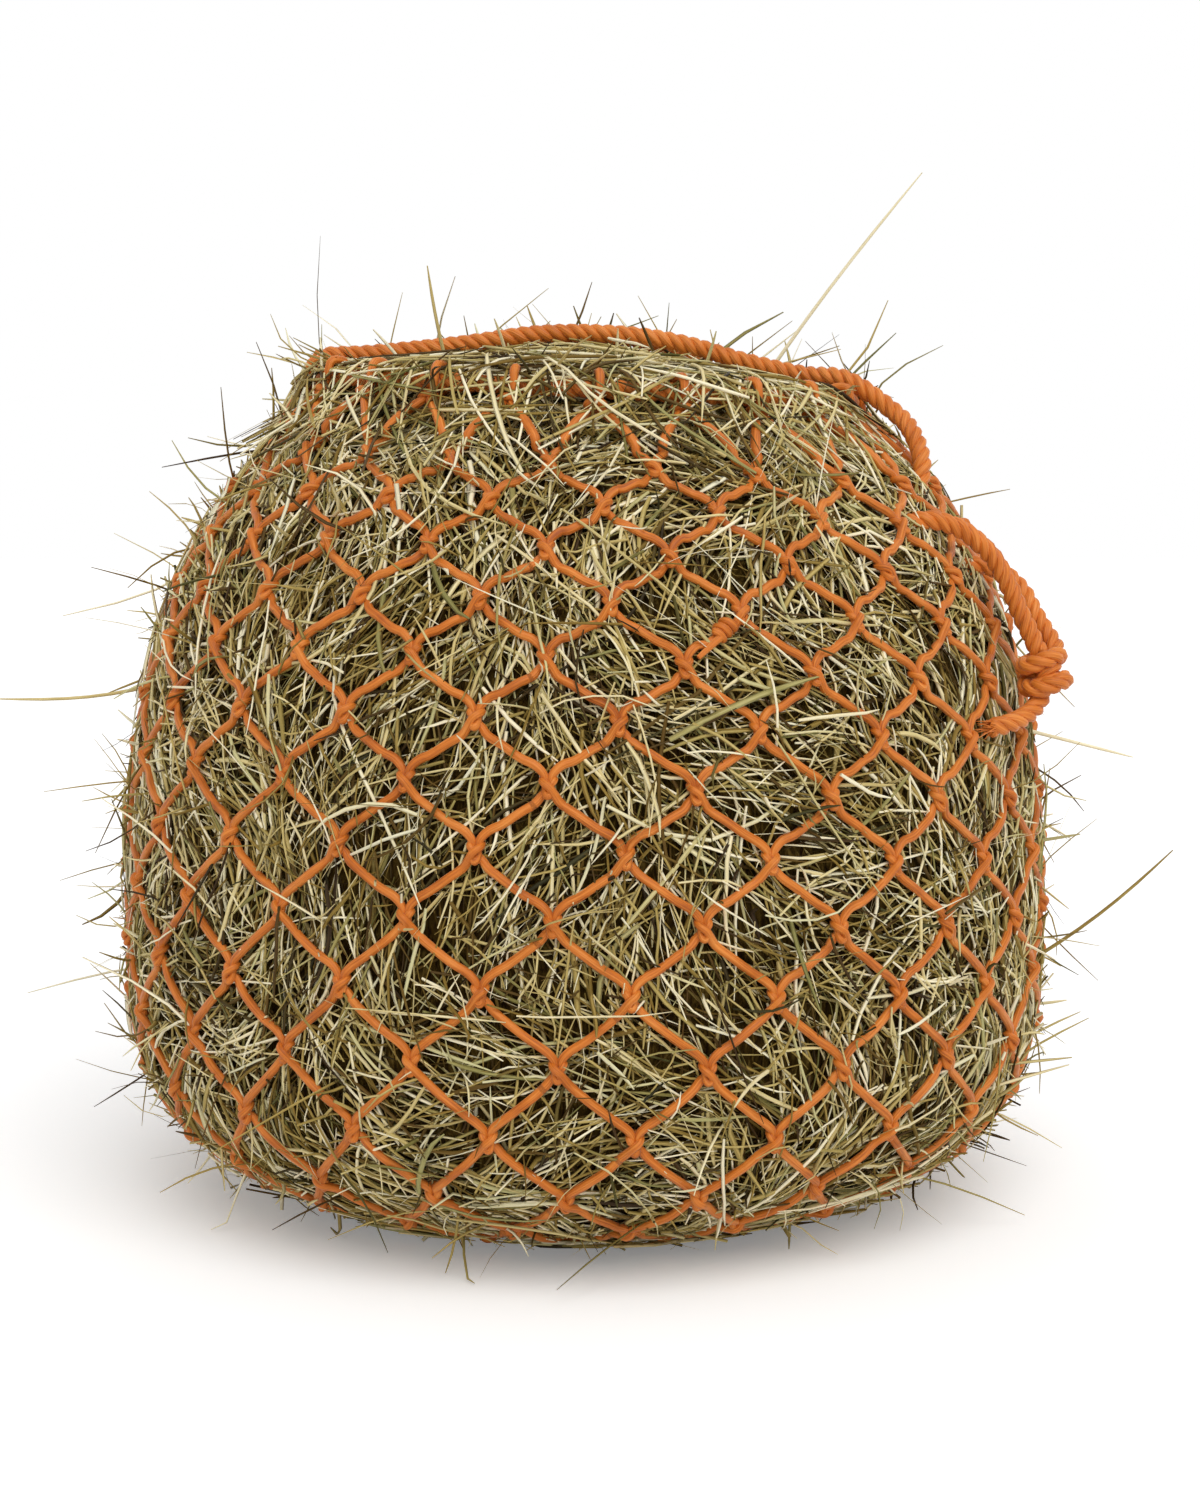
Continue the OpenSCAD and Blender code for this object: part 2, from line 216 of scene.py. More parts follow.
def even_run(points, gap, closed=False):
    """The same run with its points an even distance apart, and each point's distance along it."""
    p = np.concatenate([points, points[:1]]) if closed else np.asarray(points)
    along = distances(p)
    at = np.linspace(0, along[-1], max(4, int(along[-1] / gap)) + 1)
    if closed:
        at = at[:-1]
    return np.stack([np.interp(at, along, p[:, k]) for k in range(p.shape[1])], 1), at


# Materials


def srgb(text):
    """A hex colour as linear light."""
    values = [int(text[k:k + 2], 16) / 255 for k in (1, 3, 5)]
    return [v / 12.92 if v <= 0.04045 else ((v + 0.055) / 1.055) ** 2.4 for v in values] + [1.0]


def add(tree, kind, links=(), **settings):
    """Adds a shader node: settings are its properties, and links are (socket, value or source socket)."""
    node = tree.nodes.new("ShaderNode" + kind)
    for name, value in settings.items():
        setattr(node, name, value)
    for socket, value in links:
        target = node.inputs[socket]
        if isinstance(value, bpy.types.NodeSocket):
            tree.links.new(value, target)
        else:
            target.default_value = value
    return node


def new_material(name):
    """A material with an empty node tree."""
    material = bpy.data.materials.new(name)
    material.use_nodes = True
    tree = material.node_tree
    tree.nodes.clear()
    return material, tree


def ramp(tree, value, stops):
    """The colour that a ramp with these stops gives a value."""
    node = add(tree, "ValToRGB", [("Fac", value)])
    elements = node.color_ramp.elements
    while len(elements) < len(stops):
        elements.new(0.5)
    for element, (place, colour) in zip(elements, stops):
        element.position = place
        element.color = srgb(colour)
    return node.outputs["Color"]


def streaks(tree, vector, scale, **sockets):
    """The value of a noise with so many streaks to a unit in x, y and z: to a mm of lay, or to a metre."""
    stretch = add(tree, "Mapping", [("Vector", vector), ("Scale", scale)])
    links = [("Vector", stretch.outputs["Vector"]), ("Scale", 1.0), *sockets.items()]
    return add(tree, "TexNoise", links).outputs["Fac"]


def finish_material(tree, colour, height, depth, **sockets):
    """The shader, with a bump of the given depth in metres."""
    bump = add(tree, "Bump", [("Height", height), ("Distance", depth), ("Strength", 1.0)])
    links = [("Base Color", colour), ("Normal", bump.outputs["Normal"])]
    links += [(name.replace("_", " "), value) for name, value in sockets.items()]
    shader = add(tree, "BsdfPrincipled", links)
    add(tree, "OutputMaterial", [("Surface", shader.outputs["BSDF"])])


def polyethylene_cord(name, shade, middle, light, fibre_mm):
    """Extruded polyethylene fibres laid into a cord: satin, with streaks of 20 mm along the lay and worn
    patches of about 18 mm. The attribute lay goes round the cord in x and y and along it in z, in mm."""
    material, tree = new_material(name)
    lay = add(tree, "Attribute", attribute_name="lay").outputs["Vector"]
    fibres = streaks(tree, lay, (1 / fibre_mm, 1 / fibre_mm, 1 / 20), Detail=2.0, Roughness=0.6)
    place = add(tree, "TexCoord").outputs["Object"]
    worn = add(tree, "TexNoise", [("Vector", place), ("Scale", 55.0), ("Detail", 3.0)])
    tone = add(tree, "Mix", [("Factor", 0.4), ("A", fibres), ("B", worn.outputs["Fac"])], data_type="FLOAT")
    colour = ramp(tree, tone.outputs["Result"], [(0.3, shade), (0.5, middle), (0.72, light)])
    finish_material(tree, colour, fibres, 0.5 * MM, Roughness=0.5, IOR=1.5,
                    Specular_IOR_Level=0.4, Sheen_Weight=0.12, Sheen_Roughness=0.4)
    return material


def dry_stems():
    """Dried grass: matt straw and brown stems, some of them olive green, with pale ribs under 1 mm wide.
    The attribute tone is one number to a stem. lay starts at another place on each stem, so a slow noise
    along it, 700 mm long, gives each stem its own share of green."""
    material, tree = new_material("dry grass stems")
    tone = add(tree, "Attribute", attribute_name="tone").outputs["Fac"]
    lay = add(tree, "Attribute", attribute_name="lay").outputs["Vector"]
    ribs = streaks(tree, lay, (1.2, 1.2, 0.06), Detail=2.0)
    mixed = add(tree, "Math", [(0, ribs), (1, 0.3), (2, tone)], operation="MULTIPLY_ADD")
    straw = ramp(tree, mixed.outputs["Value"], [(0.12, "#35230B"), (0.3, "#624919"), (0.48, "#8D7332"),
                                                (0.64, "#B9A25E"), (0.82, "#E2D097"), (1.0, "#FBF0CD")])
    green = ramp(tree, mixed.outputs["Value"], [(0.12, "#2A2611"), (0.3, "#4E4A22"), (0.48, "#77723C"),
                                                (0.64, "#A19A60"), (0.82, "#CCC590"), (1.0, "#EEE8C8")])
    slow = streaks(tree, lay, (0.0, 0.0, 1 / 700), Detail=0.0)
    share = add(tree, "MapRange", [("Value", slow), ("From Min", 0.48), ("From Max", 0.66)])
    # Sockets 6 and 7 are the two colours of the mix, and its output 2 is the mixed one.
    both = add(tree, "Mix", [("Factor", share.outputs["Result"]), (6, straw), (7, green)], data_type="RGBA")
    finish_material(tree, both.outputs[2], ribs, 0.3 * MM, Roughness=0.62, IOR=1.45, Specular_IOR_Level=0.25)
    return material


def packed_hay_painted_shade():
    """Hay packed behind the stems that show: a matt mat of streaks, about 2.4 mm wide and 11 mm long, whose
    dark browns are painted shade in the gaps between the stems.
    """
    material, tree = new_material("packed hay painted shade")
    place = add(tree, "TexCoord").outputs["Object"]
    mat = streaks(tree, place, (420.0, 420.0, 90.0), Detail=4.0, Distortion=1.2)
    # These dark browns are painted shade: the shade in the gaps between the stems.
    colour = ramp(tree, mat, [(0.35, "#261808"), (0.55, "#463513"), (0.7, "#705B2B")])
    finish_material(tree, colour, mat, 2 * MM, Roughness=0.9, IOR=1.45, Specular_IOR_Level=0.05)
    return material


TWINE = polyethylene_cord("orange polyethylene twine", "#9E4B0A", "#CF7018", "#EA9440", 0.9)
ROPE = polyethylene_cord("orange polyethylene rope", "#A95210", "#D67620", "#F09A48", 0.7)
STEMS = dry_stems()
# The packed hay's dark colour is painted shade.
PACKED_SHADE = packed_hay_painted_shade()


# Cords and stems are bevelled curves, made a mesh.
# lay starts this much further on from one cord to the next, in mm, and starts again after this many cords.
LAY_START, LAY_STARTS = 977.0, 89


def new_object(name, data):
    made = bpy.data.objects.new(name, data)
    bpy.context.scene.collection.objects.link(made)
    return made


def mesh_object(mesh, name, material):
    """The bmesh as an object of one material."""
    shape = bpy.data.meshes.new(name)
    mesh.to_mesh(shape)
    mesh.free()
    shape.shade_smooth()
    shape.materials.append(material)
    return new_object(name, shape)


def bevelled(name, runs, radii, material, depth=1.0, sides=8, profile=None, tilts=None, closed=False):
    """A mesh of round cords, or of cords with the profile's section, one to each run, in mm.
    It gets the attribute lay: two numbers round the cord, and the distance along it in mm."""
    curve = bpy.data.curves.new(name, "CURVE")
    curve.dimensions = "3D"
    curve.twist_mode = "MINIMUM"
    if profile is None:
        curve.bevel_depth = depth * MM
        curve.bevel_resolution = sides // 2 - 2
    else:
        curve.bevel_mode = "OBJECT"
        curve.bevel_object = profile
        sides = len(profile.data.splines[0].points)
    for k, run in enumerate(runs):
        spline = curve.splines.new("POLY")
        n = len(run)
        spline.points.add(n - 1)
        spline.points.foreach_set("co", np.concatenate([run * MM, np.ones((n, 1))], 1).ravel())
        spline.points.foreach_set("radius", np.asarray(radii[k], float))
        if tilts is not None:
            spline.points.foreach_set("tilt", np.full(n, tilts[k]))
        spline.use_cyclic_u = closed
    rig = new_object(name + ".curve", curve)
    shape = bpy.data.meshes.new_from_object(rig.evaluated_get(bpy.context.evaluated_depsgraph_get()))
    bpy.data.objects.remove(rig)
    bpy.data.curves.remove(curve)
    shape.name = name
    total = sum(len(r) for r in runs)
    if len(shape.vertices) != total * sides:
        raise RuntimeError(f"{name}: {len(shape.vertices)} vertices, not {total} x {sides}")
    turn = np.tile(2 * math.pi * np.arange(sides) / sides, total)
    along = [distances(r) + LAY_START * (k % LAY_STARTS) for k, r in enumerate(runs)]
    along = np.repeat(np.concatenate(along), sides)
    lay = np.stack([depth * np.cos(turn), depth * np.sin(turn), along], 1)
    shape.attributes.new("lay", "FLOAT_VECTOR", "POINT").data.foreach_set("vector", lay.ravel())
    if profile is None and not closed:
        ends = bmesh.new()
        ends.from_mesh(shape)
        bmesh.ops.holes_fill(ends, edges=[e for e in ends.edges if e.is_boundary], sides=sides)
        ends.to_mesh(shape)
        ends.free()
    shape.shade_smooth()
    shape.materials.clear()
    shape.materials.append(material)
    return new_object(name, shape)


def section(name, points):
    """A closed section for bevelled, in metres for a radius of 1."""
    curve = bpy.data.curves.new(name, "CURVE")
    curve.dimensions = "2D"
    spline = curve.splines.new("POLY")
    spline.points.add(len(points) - 1)
    for point, (x, y) in zip(spline.points, points):
        point.co = (x * MM, y * MM, 0, 1)
    spline.use_cyclic_u = True
    return bpy.data.objects.new(name, curve)


def give_tone(piece, runs, tones, sides):
    """The attribute tone: one number to each stem of the piece."""
    values = np.concatenate([np.full(len(r) * sides, t) for r, t in zip(runs, tones)])
    piece.data.attributes.new("tone", "FLOAT", "POINT").data.foreach_set("value", values.astype(np.float32))


def place_on(piece, body, slot, *nodes):
    """The piece rides on a body, and takes the place of the nodes it draws again."""
    if nodes:
        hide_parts(*nodes)
    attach(piece, body)
    return piece


# The drawstring: three strands laid round each other

LAY = 19.0
ROPE_STEP = 1.9
STRANDS = 3
STRAND_R = 2.45
STRAND_OFF = ROPE_R - STRAND_R


def unit(v):
    """Directions of one vector or of many."""
    return v / np.linalg.norm(v, axis=-1, keepdims=True)


def run_frames(p, closed=False):
    """Directions across a run that turn with it as little as they can."""
    if closed:
        d = unit(np.roll(p, -1, 0) - np.roll(p, 1, 0))
    else:
        d = unit(np.gradient(p, axis=0))
    u = np.zeros_like(p)
    ref = (0, 0, 1) if abs(d[0][2]) < 0.9 else (0, 1, 0)
    u[0] = unit(np.cross(ref, d[0]))
    for k in range(1, len(p)):
        u[k] = unit(u[k - 1] - d[k] * np.dot(u[k - 1], d[k]))
    return u, np.cross(d, u)


def laid_rope(points, closed=False, squeeze=1.0):
    """Three strands that wind round the run, their radii, and the run itself."""
    p, at = even_run(points, ROPE_STEP, closed)
    u, v = run_frames(p, closed)
    turns = at / LAY
    if closed:
        round_length = at[-1] + at[1]
        turns = at / round_length * round(round_length / LAY)
    strands = []
    for k in range(STRANDS):
        w = 2 * math.pi * (turns + k / STRANDS)
        strands.append(p + STRAND_OFF * squeeze * (np.cos(w)[:, None] * u + np.sin(w)[:, None] * v))
    return strands, [np.full(len(p), squeeze)] * STRANDS, p


# The rope's routes. The first and last points run on a little into the rim or the hay.
FRONT = [over(p) for p in ((-0.995, 0.05, -0.45), (-1.01, 0.045, -0.2), (-0.985, 0.04, 0),
                           (-0.81, 0.02, 0.12), (-0.48, 0, 0.45), (-0.17, -0.03, 0.82),
                           (0.13, -0.045, 0.9), (0.36, -0.06, 0.75), (0.59, -0.09, 0.4),
                           (0.81, -0.15, 0.15), (0.965, -0.24, 0.08))]
FRONT += [beside(p) for p in ((0.2, 4.97, 1.2), (0.5, 4.8, 1.15), (0.8, 4.65, 0.7), (1.05, 4.55, -0.15),
                              (1.2, 4.5, -0.8))]
BACK = [over(p) for p in ((-0.985, 0.175, -0.45), (-1.0, 0.17, -0.2), (-0.975, 0.165, 0), (-0.8, 0.155, 0.12),
                          (-0.48, 0.1, 0.45), (-0.17, 0.065, 0.82), (0.13, 0.065, 0.85), (0.32, 0.17, 0.65),
                          (0.43, 0.36, 0.35), (0.52, 0.58, 0.1), (0.61, 0.78, 0), (0.64, 0.8, -0.25),
                          (0.63, 0.775, -0.48))]
SIDE = [beside(p) for p in ((1.75, 3.77, -0.8), (1.85, 3.85, -0.22), (2, 3.95, 0.6), (2.35, 4.12, 1.3),
                            (2.9, 4.28, 1.7), (3.45, 4.36, 1.75), (4, 4.38, 1.8), (4.4, 4.37, 2),
                            (4.75, 4.34, 2.2))]
REAR = [beside(p) for p in ((2.72, 4.57, -0.8), (2.8, 4.62, -0.15), (2.92, 4.68, 0.6), (3.2, 4.7, 1.3),
                            (3.6, 4.66, 1.85), (4, 4.6, 2.1), (4.35, 4.56, 2.4), (4.6, 4.51, 2.7),
                            (4.78, 4.45, 2.85))]
TAIL = [beside(p) for p in ((5.35, 4.25, 2.1), (5.55, 4.18, 1.8), (5.7, 4.05, 1.45), (5.8, 3.9, 1),
                            (5.85, 3.75, 0.35))]
KNOT_ROW, KNOT_PLACE, KNOT_OUT = 5.05, 4.31, 2.2
KNOT = beside((KNOT_ROW, KNOT_PLACE, KNOT_OUT))

# The rope knot in mm: the radius of its turns and how much it swells, half its length, and the turns' tilt
KNOT_TURNS = 3
KNOT_TURN_R = 8.0
KNOT_BULGE = 2.4
KNOT_HALF = 7.4
KNOT_TILT = 2.6
KNOT_START = 0.8
KNOT_SQUEEZE = 0.95

# The frayed end in mm: its loose fibres, how far they spread, and how long they are
FRAY_FIBRES = 46
FRAY_R = 0.4
FRAY_FOOT = 3.0
FRAY_SPREAD = 1.7
FRAY_FAN = 0.32
FRAY_LENGTH = (5, 9)

# The closing cord under the base is squeezed thinner than the rope and lies this high, in mm.
CLOSING_SQUEEZE = 0.78
CLOSING_HEIGHT = 4.0


def circle(radius, points, height=0.0):
    t = np.linspace(0, 2 * math.pi, points, endpoint=False)
    return np.stack([radius * np.sin(t), -radius * np.cos(t), 0 * t + height], 1)


def free_rope(name, points, node):
    """A laid rope through the points, in place of the node it draws again."""
    strands, radii, p = laid_rope(smooth_run(points))
    rope = bevelled(name, strands, radii, ROPE, STRAND_R, 10)
    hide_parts(node)
    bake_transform(rope)


def rope_knot():
    """Three turns drawn tight round the strands that come in."""
    down = unit(KNOT - SIDE[6])
    right = bag_frame(*net_place(KNOT_ROW, KNOT_PLACE))[3]
    right = unit(right - down * np.dot(right, down))
    near = np.cross(down, right)
    t = np.linspace(0, 2 * math.pi * KNOT_TURNS, 180, endpoint=False)[:, None]
    w = t - KNOT_START
    radius = KNOT_TURN_R + KNOT_BULGE * np.sin(t / KNOT_TURNS)
    turns = KNOT + radius * (np.cos(w) * right + np.sin(w) * near)
    turns += (KNOT_HALF * np.cos(t / KNOT_TURNS) + KNOT_TILT * np.sin(w)) * down
    strands, radii, _ = laid_rope(turns, True, KNOT_SQUEEZE)
    knot = bevelled("rope_knot_turns", strands, radii, ROPE, STRAND_R, 8, closed=True)
    return place_on(knot, "side_loop", "drawstring", "side_knot")


def rope_tail():
    """The knot's tail, and the fibres of its cut end."""
    strands, radii, p = laid_rope(smooth_run(TAIL))
    tail = bevelled("rope_tail", strands, radii, ROPE, STRAND_R, 10)
    place_on(tail, "side_loop", "drawstring", "side_tail")
    end = unit(p[-1] - p[-3])
    fibres = []
    for _ in range(FRAY_FIBRES):
        foot = p[-1] - FRAY_FOOT * end + rng.normal(0, FRAY_SPREAD, 3)
        way = end + rng.normal(0, FRAY_FAN, 3)
        fibres.append(foot + np.linspace(0, 1, 4)[:, None] ** 1.2 * rng.uniform(*FRAY_LENGTH) * way)
    fray = bevelled("rope_fray", fibres, [np.linspace(1, 0.5, 4)] * len(fibres), ROPE, FRAY_R, 6)
    place_on(fray, "side_loop", "drawstring")
    return tail, fray


def closed_rope(name, points, body, slot, node, squeeze=1.0, sides=8):
    """A rope without ends, kept above the floor."""
    strands, radii, _ = laid_rope(points, True, squeeze)
    for strand in strands:
        strand[:, 2] = np.maximum(strand[:, 2], squeeze * STRAND_R + FLOOR_GAP)
    place_on(bevelled(name, strands, radii, ROPE, STRAND_R, sides, closed=True), body, slot, node)


# The strands over the heap: their right end stays in the rim.
free_rope("front_rope", FRONT, "front_strand")
free_rope("back_rope", BACK, "back_strand")
knot = rope_knot()
tail, fray = rope_tail()
# The strands at the side run to their knot, and come out of the net at their other end.
free_rope("side_rope", SIDE, "side_strand")
free_rope("rear_rope", REAR, "rear_strand")
closed_rope("rim_rope", lean(circle(MOUTH_RADIUS, 360)), "drawstring", "drawstring", "drawstring_ring")

# The net: each row is one twine that ties round the bights of the row above and hangs in bights of its own.
# Points are across, up the bag and out of it, in mm from the knot's middle, and then the twine's thickness.
WRAP = [(-6.1, -8.3, -0.6, 0.88), (-3.0, -4.6, -1.2, 0.84), (-0.2, -1.7, -0.4, 0.7), (1.5, 0.6, 1.7, 0.7),
        (2.6, 2.2, 0.8, 0.72), (2.3, 3.2, -1.6, 0.7), (0.0, 3.6, -2.6, 0.7), (-2.3, 3.2, -1.6, 0.7),
        (-2.6, 2.0, 0.7, 0.72), (-1.4, 0.8, 2.8, 0.75), (0.8, -0.9, 3.4, 0.75), (2.8, -3.9, 1.6, 0.84),
        (6.1, -8.3, -0.6, 0.88)]
BIGHT_SIDE = [(-6.5, 9.4, 0.0, 0.88), (-2.6, 5.9, 0.3, 0.82), (-1.2, 2.6, 0.2, 0.72), (-1.2, -1.8, 0.7, 0.72),
              (-0.9, -4.0, 1.9, 0.74)]
BIGHT = BIGHT_SIDE + [(0.0, -4.8, 2.3, 0.76)] + [(-x, *rest) for x, *rest in BIGHT_SIDE[::-1]]
# In the gathered base rows the bights, and in the last row the wraps, are this much narrower.
BASE_BIGHT, BASE_WRAP = 0.45, 0.5
# The legs leave the knots steeply and lie flatter between them: two points, at these shares of the leg, lie
# this far to each side of the straight line. They bow out with the hay, each leg a little differently.
LEG_CURVE = 0.9
LEG_SHARES = ((0.38, -1), (0.62, 1))
LEG_THICK = 0.86
LEG_BOW, LEG_SWAY = 0.6, 0.5


def in_frame(local, place, across, up, out, hand=1):
    """Points in a knot's own directions, put in their place. Their thickness stays with them."""
    local = np.asarray(local)
    xyz = place + local[:, :1] * hand * across + local[:, 1:2] * up + local[:, 2:3] * out
    return np.concatenate([xyz, local[:, 3:]], 1)


def leg_points(start, stop, bow):
    """Two points between the knots, bowed out with the hay under them."""
    s0, a0, s1, a1 = *start, *stop
    points = []
    for t, side in LEG_SHARES:
        place, _, up, out = bag_frame(s0 + t * (s1 - s0), a0 + t * (a1 - a0))
        aside = side * np.sign(s1 - s0) * LEG_CURVE
        points.append(np.concatenate([place + out * bow + up * aside, [LEG_THICK]]))
    return np.array(points)


def net_row(j):
    """One closed run: a wrap, a leg down, a bight, a leg up, and so on round the bag."""
    hand = 1 if j % 2 else -1
    wrap = np.array(WRAP if hand > 0 else WRAP[::-1])
    bight = np.array(BIGHT)
    if j == ROWS:
        wrap[:, 0] *= BASE_WRAP
    if j >= ROWS - 1:
        bight[:, 0] *= BASE_BIGHT
    points = []
    for i in range(MESHES):
        here = net_place(j, i + row_half(j))
        low = net_place(j + 1, i + row_half(j) + 0.5)
        after = net_place(j, i + row_half(j) + 1)
        sway = LEG_SWAY * rng.uniform(-1, 1)
        points += [in_frame(wrap, *bag_frame(*here), hand), leg_points(here, low, LEG_BOW + sway),
                   in_frame(bight, *bag_frame(*low)), leg_points(low, after, LEG_BOW - sway)]
    run = smooth_run(np.concatenate(points), 3, True)
    run[:, 2] = np.maximum(run[:, 2], run[:, 3] * TWINE_R + FLOOR_GAP)
    sides = 8 if j <= SIDE_ROWS else 6
    piece = bevelled(f"net_row_{j:02d}", [run[:, :3]], [run[:, 3]], TWINE, TWINE_R, sides, closed=True)
    place_on(piece, "bag", "net_twine", f"mesh_row_{j:02d}")


for j in range(1, ROWS + 1):
    net_row(j)

# A rim eye in mm: its radius round the drawstring's middle and half its width along it, the angles where its
# twine starts and ends, places across and along its neck, and the ring that binds the neck
EYE_R, EYE_HALF = 7.7, 2.0
EYE_POINTS = 9
EYE_FROM, EYE_TO = -8, -352
NECK = ((2.2, 2.5), (1.9, -1.5))
NECK_RING_WIDE, NECK_RING_DEEP = 4.0, 2.6
NECK_RING_THICK = 0.8
RIM_LEG_OUT = 2.0
RIM_LEG_SHARES = (0.35, 0.65)


def rim_frame(i):
    """The drawstring's middle at a rim eye, and the directions across, out and up there."""
    a = math.radians(NET_TURN + STEP * (i + 0.5))
    s, c = math.sin(a), math.cos(a)
    across, out, up = (lean(v) - lean([0, 0, 0]) for v in ([c, s, 0], [s, -c, 0], [0, 0, 1]))
    return lean([MOUTH_RADIUS * s, -MOUTH_RADIUS * c, 0]), across, out, up


def rim_row():
    """The rim: the twine goes round the drawstring in an eye, and down to a bight in the first row."""
    turn = np.radians(np.linspace(EYE_FROM, EYE_TO, EYE_POINTS))[:, None]
    side = np.linspace(-EYE_HALF, EYE_HALF, EYE_POINTS)[:, None]
    thick = np.array([0.85, 0.8] + [0.9] * (EYE_POINTS - 2) + [0.8, 0.85])[:, None]
    ring_turn = np.linspace(0, 2 * math.pi, 12, endpoint=False)[:, None]
    full = np.ones((len(RIM_LEG_SHARES), 1))
    points, rings = [], []
    for i in range(MESHES):
        middle, across, out, up = rim_frame(i)
        neck = (out - up) / math.sqrt(2)
        hold = middle + RIM_OFF * (out - up)
        eye = middle + EYE_R * (np.cos(turn) * out + np.sin(turn) * up) + side * across
        left = [hold - w * across + h * neck for w, h in NECK]
        right = [hold + w * across + h * neck for w, h in NECK[::-1]]
        eye = np.concatenate([left, eye[1:-1], right])
        low = knot_frame(1, i + 1)
        lift = RIM_LEG_OUT * low[3]
        after = rim_frame(i + 1)
        after_hold = after[0] + RIM_OFF * (after[2] - after[3])
        down = [hold + t * (low[0] - hold) + lift + (1 - t) * EYE_HALF * across for t in RIM_LEG_SHARES]
        rise = [low[0] + t * (after_hold - low[0]) + lift - t * EYE_HALF * after[1] for t in RIM_LEG_SHARES]
        points += [np.concatenate([eye, thick], 1), np.concatenate([down, full], 1), in_frame(BIGHT, *low),
                   np.concatenate([rise, full], 1)]
        flat = np.cross(neck, across)
        ring = hold + NECK_RING_WIDE * np.cos(ring_turn) * across + NECK_RING_DEEP * np.sin(ring_turn) * flat
        rings.append(smooth_run(ring, 2, True))
    run = smooth_run(np.concatenate(points), 3, True)
    radii = [run[:, 3]] + [np.full(len(r), NECK_RING_THICK) for r in rings]
    rim = bevelled("rim_eyes", [run[:, :3]] + rings, radii, TWINE, TWINE_R, 8, closed=True)
    place_on(rim, "bag", "net_twine", "rim_row")


# The join in the net twine, on the leg below this knot: its share of the leg, and its windings in mm
JOIN_ROW, JOIN_KNOT = 4, 1
JOIN_SHARE = 0.34
JOIN_OUT = 1.2
JOIN_TURNS = 2.4
JOIN_LENGTH = 9.0
JOIN_R = 3.2
JOIN_POINTS = 40
# Its end is laid from this far along and out of the join's middle, so much further along and in, and aside.
END_ALONG, END_LENGTH = 3.5, 15
END_OUT, END_IN = 2.6, 1.8
END_ASIDE = 1.5


def twine_join():
    """The new length of twine is wound round the old one, and its end is laid along it."""
    place, _, _, out = knot_frame(JOIN_ROW, JOIN_KNOT)
    leg = knot_frame(JOIN_ROW + 1, JOIN_KNOT)[0] - place
    aim = unit(leg)
    flat = np.cross(out, aim)
    middle = place + JOIN_SHARE * leg + JOIN_OUT * out
    t = np.linspace(0, 1, JOIN_POINTS)[:, None]
    w = 2 * math.pi * JOIN_TURNS * t
    wound = middle + (t - 0.5) * JOIN_LENGTH * aim + JOIN_R * (np.cos(w) * flat + np.sin(w) * out)
    laid = middle + (END_ALONG + END_LENGTH * t) * aim + (END_OUT - END_IN * t) * out + END_ASIDE * flat
    radii = [np.full(JOIN_POINTS, 0.74), np.linspace(0.8, 0.5, JOIN_POINTS)]
    join = bevelled("twine_join", [wound, laid], radii, TWINE, TWINE_R, 8)
    place_on(join, "bag", "net_twine", "join_knot")


rim_row()
closed_rope("closing_cord", circle(RING_RADIUS, 120, CLOSING_HEIGHT), "bag", "closing_cord", "base_ring",
            CLOSING_SQUEEZE, 6)
twine_join()


# Hay: an imported body, painted dark as painted shade in the gaps between the stems, that swells through the
# meshes, and the stems that show on it.
# It lies this far under the knots' middles along the legs, and is this much prouder in open meshes, in mm.
UNDER_TWINE = 3.4
SWELL = 6.0
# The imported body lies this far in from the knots' middles and takes this share of the swell.
PACKED_IN = 7.5
PACKED_SWELL = 0.55
PACKED_FLOOR = 9.0
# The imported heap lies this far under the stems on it, and goes this far down into the mouth.
HEAP_UNDER = 3.0
HEAP_DOWN = -14.0
HEAP_EDGE = 126.0
HEAP_ROUND = 2.2
# The swell starts this far below the rim, grows over the second distance, and fades over the third before the
# closing cord.
SWELL_FROM, SWELL_GROWS, SWELL_FADES = 5.0, 30.0, 60.0
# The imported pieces' points and steps round, and their roughness. The body's top stands this far over its
# first point, and it swells outside this radius and this far below the mouth.
SIDE_POINTS, BASE_POINTS, HEAP_POINTS = 64, 10, 16
PACKED_TOP = 4
PACKED_STEPS, HEAP_STEPS = 160, 72
PACKED_RADIUS, PACKED_BELOW = 60, 12
PACKED_ROUGH, HEAP_ROUGH = 0.6, 0.8


def swell(s, a):
    """How far the hay stands out of the knots' middles: under the twine on the legs, proud between them."""
    j, i = net_coords(s, a)
    open_mesh = np.abs(np.cos(math.pi * (i + j / 2)) * np.cos(math.pi * (i - j / 2)))
    soft = np.clip((s - SWELL_FROM) / SWELL_GROWS, 0, 1) * np.clip((RING_S - s) / SWELL_FADES, 0, 1)
    return -UNDER_TWINE + soft * SWELL * np.sqrt(open_mesh)


def heap_height(rho):
    """Height of the heap in the mouth's own frame."""
    return HEAP_FOOT + (HEAP - HEAP_FOOT) * (1 - np.minimum(1, rho / HEAP_RADIUS) ** HEAP_ROUND)


def spun(outline, steps):
    """An outline of points in mm, turned round the z axis, closed and facing outwards."""
    mesh = bmesh.new()
    chain = [mesh.verts.new([c * MM for c in p]) for p in outline]
    edges = [mesh.edges.new(pair) for pair in zip(chain, chain[1:])]
    bmesh.ops.spin(mesh, geom=chain + edges, cent=(0, 0, 0), axis=(0, 0, 1), angle=2 * math.pi, steps=steps,
                   use_merge=True)
    bmesh.ops.remove_doubles(mesh, verts=mesh.verts, dist=1e-5)
    bmesh.ops.recalc_face_normals(mesh, faces=mesh.faces)
    return mesh


